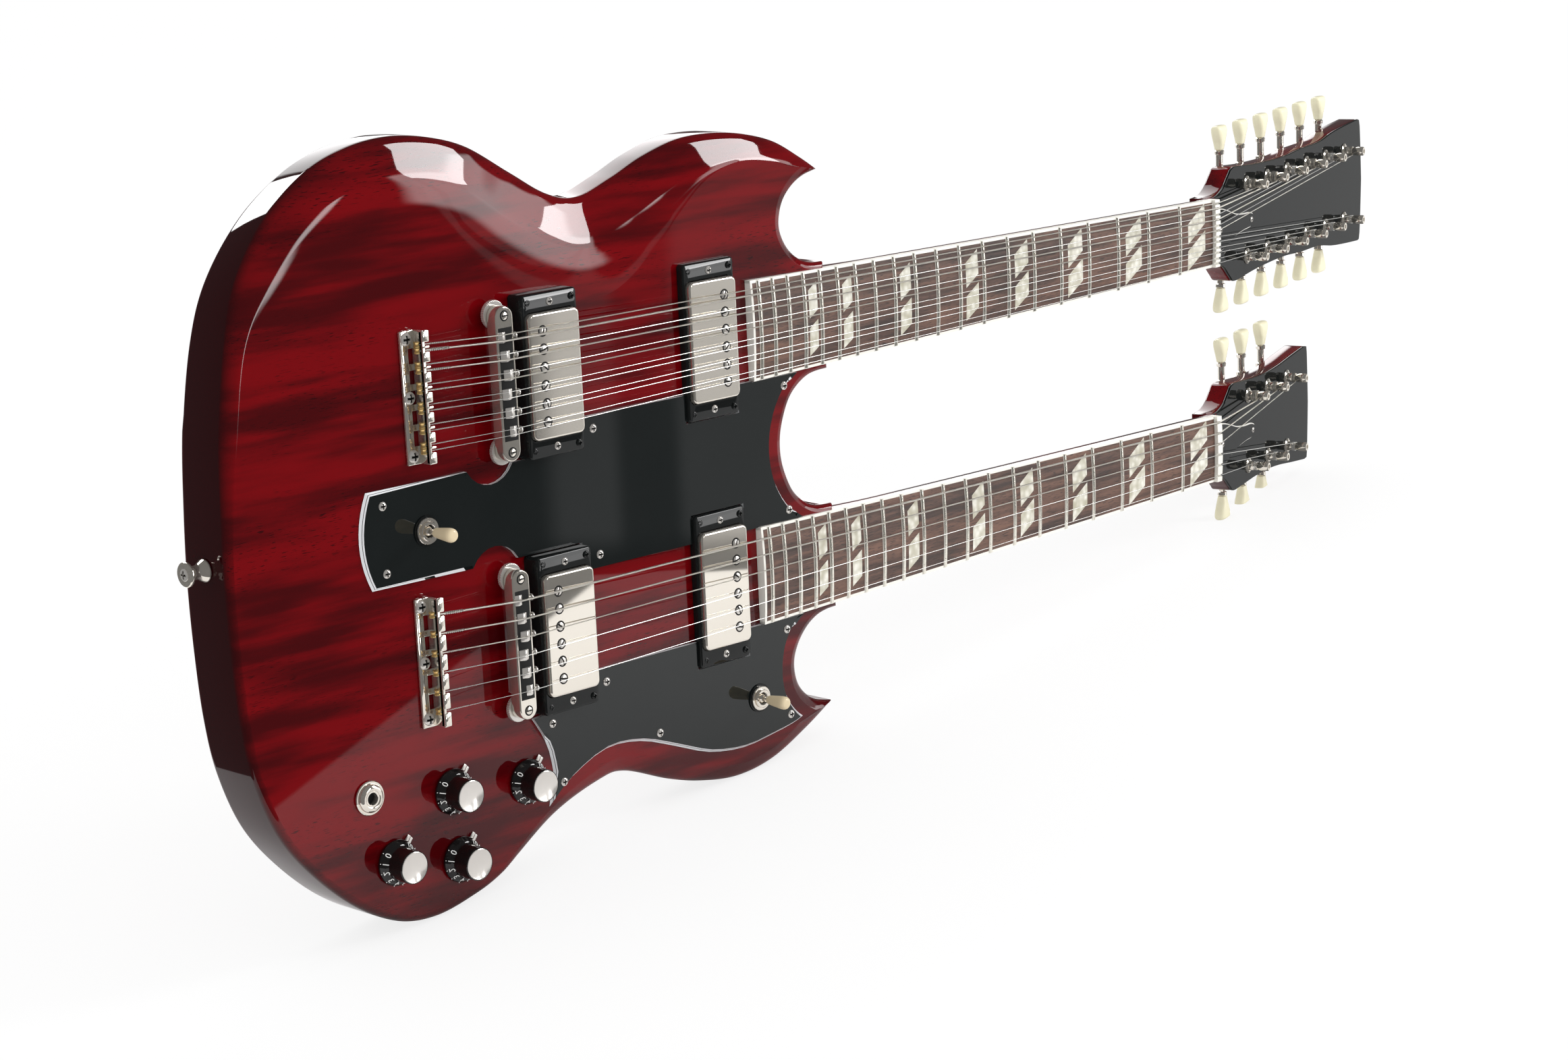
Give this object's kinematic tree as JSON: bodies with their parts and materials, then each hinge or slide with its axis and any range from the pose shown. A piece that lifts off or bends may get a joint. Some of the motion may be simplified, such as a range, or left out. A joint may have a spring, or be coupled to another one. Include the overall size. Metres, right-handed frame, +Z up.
{
  "type": "double-neck electric guitar",
  "caption": "Double-neck solid-body electric guitar in cherry lacquer, a twelve-string neck above a six-string neck, with nickel hardware.",
  "frame": {"origin": "middle of the flat end of the tail strap button, on the line midway between the two necks", "axes": "+X from the tail button to the headstocks, +Y from the front of the guitar to its back, +Z up across the strings, towards the twelve-string neck"},
  "size_m": [1.0984, 0.1361, 0.4181],
  "materials": {
    "cherry_lacquer": "translucent cherry gloss lacquer over mahogany",
    "rosewood": "oiled dark rosewood, white edge binding, pearl inlays, nickel frets",
    "bone_white": "polished off-white",
    "black_gloss": "black gloss",
    "black_satin": "black satin",
    "nickel": "polished nickel plate",
    "cream": "aged cream"
  },
  "bodies": {
    "guitar": {"body": "cherry_lacquer", "rear_cover": "black_satin", "pickguard_middle": "black_gloss", "pickguard_lower": "black_gloss", "output_jack": "nickel", "strap_button_tail": "nickel", "strap_button_heel": "nickel", "neck_selector_bushing": "nickel", "pickup_switch_bushing": "nickel", "neck_twelve": "cherry_lacquer", "fingerboard_twelve": "rosewood", "nut_twelve": "bone_white", "headplate_twelve": "black_gloss", "truss_rod_cover_twelve": "black_gloss", "bridge_twelve": "nickel", "tailpiece_twelve": "nickel", "pickup_twelve_bridge": "nickel", "pickup_ring_twelve_bridge": "black_satin", "pickup_twelve_neck": "nickel", "pickup_ring_twelve_neck": "black_satin", "neck_six": "cherry_lacquer", "fingerboard_six": "rosewood", "nut_six": "bone_white", "headplate_six": "black_gloss", "truss_rod_cover_six": "black_gloss", "bridge_six": "nickel", "tailpiece_six": "nickel", "pickup_six_bridge": "nickel", "pickup_ring_six_bridge": "black_satin", "pickup_six_neck": "nickel", "pickup_ring_six_neck": "black_satin"},
    "height_wheel_twelve_upper_body": {"height_wheel_twelve_upper": "nickel"},
    "height_wheel_twelve_lower_body": {"height_wheel_twelve_lower": "nickel"},
    "height_wheel_six_upper_body": {"height_wheel_six_upper": "nickel"},
    "height_wheel_six_lower_body": {"height_wheel_six_lower": "nickel"},
    "tuner_key_six_lower_1_body": {"tuner_key_six_lower_1": "cream"},
    "tuner_key_six_lower_2_body": {"tuner_key_six_lower_2": "cream"},
    "tuner_key_six_lower_3_body": {"tuner_key_six_lower_3": "cream"},
    "tuner_key_six_upper_1_body": {"tuner_key_six_upper_1": "cream"},
    "tuner_key_six_upper_2_body": {"tuner_key_six_upper_2": "cream"},
    "tuner_key_six_upper_3_body": {"tuner_key_six_upper_3": "cream"},
    "tuner_key_twelve_lower_1_body": {"tuner_key_twelve_lower_1": "cream"},
    "tuner_key_twelve_lower_2_body": {"tuner_key_twelve_lower_2": "cream"},
    "tuner_key_twelve_lower_3_body": {"tuner_key_twelve_lower_3": "cream"},
    "tuner_key_twelve_lower_4_body": {"tuner_key_twelve_lower_4": "cream"},
    "tuner_key_twelve_lower_5_body": {"tuner_key_twelve_lower_5": "cream"},
    "tuner_key_twelve_lower_6_body": {"tuner_key_twelve_lower_6": "cream"},
    "tuner_key_twelve_upper_1_body": {"tuner_key_twelve_upper_1": "cream"},
    "tuner_key_twelve_upper_2_body": {"tuner_key_twelve_upper_2": "cream"},
    "tuner_key_twelve_upper_3_body": {"tuner_key_twelve_upper_3": "cream"},
    "tuner_key_twelve_upper_4_body": {"tuner_key_twelve_upper_4": "cream"},
    "tuner_key_twelve_upper_5_body": {"tuner_key_twelve_upper_5": "cream"},
    "tuner_key_twelve_upper_6_body": {"tuner_key_twelve_upper_6": "cream"},
    "neck_selector_lever_body": {"neck_selector_lever": "cream"},
    "pickup_switch_lever_body": {"pickup_switch_lever": "cream"},
    "knob_six_tone_body": {"knob_six_tone": "black_gloss"},
    "knob_six_volume_body": {"knob_six_volume": "black_gloss"},
    "knob_twelve_tone_body": {"knob_twelve_tone": "black_gloss"},
    "knob_twelve_volume_body": {"knob_twelve_volume": "black_gloss"}
  },
  "joints": [
    {"name": "height_wheel_twelve_upper_turn", "type": "hinge", "parent": "guitar", "child": "height_wheel_twelve_upper_body", "pos_m": [0.194, -0.019, 0.1075], "axis": [0, -1, 0], "continuous": true},
    {"name": "height_wheel_twelve_lower_turn", "type": "hinge", "parent": "guitar", "child": "height_wheel_twelve_lower_body", "pos_m": [0.194, -0.019, 0.0345], "axis": [0, -1, 0], "continuous": true},
    {"name": "height_wheel_six_upper_turn", "type": "hinge", "parent": "guitar", "child": "height_wheel_six_upper_body", "pos_m": [0.194, -0.019, -0.0345], "axis": [0, -1, 0], "continuous": true},
    {"name": "height_wheel_six_lower_turn", "type": "hinge", "parent": "guitar", "child": "height_wheel_six_lower_body", "pos_m": [0.194, -0.019, -0.1075], "axis": [0, -1, 0], "continuous": true},
    {"name": "tuner_key_six_lower_1_turn", "type": "hinge", "parent": "guitar", "child": "tuner_key_six_lower_1_body", "pos_m": [0.88096, 0.03593, -0.071], "axis": [0, 0, -1], "continuous": true},
    {"name": "tuner_key_six_lower_2_turn", "type": "hinge", "parent": "guitar", "child": "tuner_key_six_lower_2_body", "pos_m": [0.91548, 0.04615, -0.071], "axis": [0, 0, -1], "continuous": true},
    {"name": "tuner_key_six_lower_3_turn", "type": "hinge", "parent": "guitar", "child": "tuner_key_six_lower_3_body", "pos_m": [0.94999, 0.05638, -0.071], "axis": [0, 0, -1], "continuous": true},
    {"name": "tuner_key_six_upper_1_turn", "type": "hinge", "parent": "guitar", "child": "tuner_key_six_upper_1_body", "pos_m": [0.88096, 0.03593, -0.071], "axis": [0, 0, 1], "continuous": true},
    {"name": "tuner_key_six_upper_2_turn", "type": "hinge", "parent": "guitar", "child": "tuner_key_six_upper_2_body", "pos_m": [0.91548, 0.04615, -0.071], "axis": [0, 0, 1], "continuous": true},
    {"name": "tuner_key_six_upper_3_turn", "type": "hinge", "parent": "guitar", "child": "tuner_key_six_upper_3_body", "pos_m": [0.94999, 0.05638, -0.071], "axis": [0, 0, 1], "continuous": true},
    {"name": "tuner_key_twelve_lower_1_turn", "type": "hinge", "parent": "guitar", "child": "tuner_key_twelve_lower_1_body", "pos_m": [0.88096, 0.03593, 0.071], "axis": [0, 0, -1], "continuous": true},
    {"name": "tuner_key_twelve_lower_2_turn", "type": "hinge", "parent": "guitar", "child": "tuner_key_twelve_lower_2_body", "pos_m": [0.91643, 0.04644, 0.071], "axis": [0, 0, -1], "continuous": true},
    {"name": "tuner_key_twelve_lower_3_turn", "type": "hinge", "parent": "guitar", "child": "tuner_key_twelve_lower_3_body", "pos_m": [0.95191, 0.05695, 0.071], "axis": [0, 0, -1], "continuous": true},
    {"name": "tuner_key_twelve_lower_4_turn", "type": "hinge", "parent": "guitar", "child": "tuner_key_twelve_lower_4_body", "pos_m": [0.98739, 0.06745, 0.071], "axis": [0, 0, -1], "continuous": true},
    {"name": "tuner_key_twelve_lower_5_turn", "type": "hinge", "parent": "guitar", "child": "tuner_key_twelve_lower_5_body", "pos_m": [1.02286, 0.07796, 0.071], "axis": [0, 0, -1], "continuous": true},
    {"name": "tuner_key_twelve_lower_6_turn", "type": "hinge", "parent": "guitar", "child": "tuner_key_twelve_lower_6_body", "pos_m": [1.05834, 0.08847, 0.071], "axis": [0, 0, -1], "continuous": true},
    {"name": "tuner_key_twelve_upper_1_turn", "type": "hinge", "parent": "guitar", "child": "tuner_key_twelve_upper_1_body", "pos_m": [0.88096, 0.03593, 0.071], "axis": [0, 0, 1], "continuous": true},
    {"name": "tuner_key_twelve_upper_2_turn", "type": "hinge", "parent": "guitar", "child": "tuner_key_twelve_upper_2_body", "pos_m": [0.91643, 0.04644, 0.071], "axis": [0, 0, 1], "continuous": true},
    {"name": "tuner_key_twelve_upper_3_turn", "type": "hinge", "parent": "guitar", "child": "tuner_key_twelve_upper_3_body", "pos_m": [0.95191, 0.05695, 0.071], "axis": [0, 0, 1], "continuous": true},
    {"name": "tuner_key_twelve_upper_4_turn", "type": "hinge", "parent": "guitar", "child": "tuner_key_twelve_upper_4_body", "pos_m": [0.98739, 0.06745, 0.071], "axis": [0, 0, 1], "continuous": true},
    {"name": "tuner_key_twelve_upper_5_turn", "type": "hinge", "parent": "guitar", "child": "tuner_key_twelve_upper_5_body", "pos_m": [1.02286, 0.07796, 0.071], "axis": [0, 0, 1], "continuous": true},
    {"name": "tuner_key_twelve_upper_6_turn", "type": "hinge", "parent": "guitar", "child": "tuner_key_twelve_upper_6_body", "pos_m": [1.05834, 0.08847, 0.071], "axis": [0, 0, 1], "continuous": true},
    {"name": "neck_selector_throw", "type": "hinge", "parent": "guitar", "child": "neck_selector_lever_body", "pos_m": [0.1418, -0.0227, 0], "axis": [1, 0, 0], "range_deg": [-14, 14]},
    {"name": "pickup_switch_throw", "type": "hinge", "parent": "guitar", "child": "pickup_switch_lever_body", "pos_m": [0.37942, -0.0227, -0.14229], "axis": [0, 0, 1], "range_deg": [-14, 14]},
    {"name": "knob_six_tone_turn", "type": "hinge", "parent": "guitar", "child": "knob_six_tone_body", "pos_m": [0.15198, -0.019, -0.18414], "axis": [0, -1, 0], "range_deg": [0, 270]},
    {"name": "knob_six_volume_turn", "type": "hinge", "parent": "guitar", "child": "knob_six_volume_body", "pos_m": [0.10754, -0.019, -0.17493], "axis": [0, -1, 0], "range_deg": [0, 270]},
    {"name": "knob_twelve_tone_turn", "type": "hinge", "parent": "guitar", "child": "knob_twelve_tone_body", "pos_m": [0.20209, -0.019, -0.15192], "axis": [0, -1, 0], "range_deg": [0, 270]},
    {"name": "knob_twelve_volume_turn", "type": "hinge", "parent": "guitar", "child": "knob_twelve_volume_body", "pos_m": [0.14937, -0.019, -0.14522], "axis": [0, -1, 0], "range_deg": [0, 270]}
  ]
}
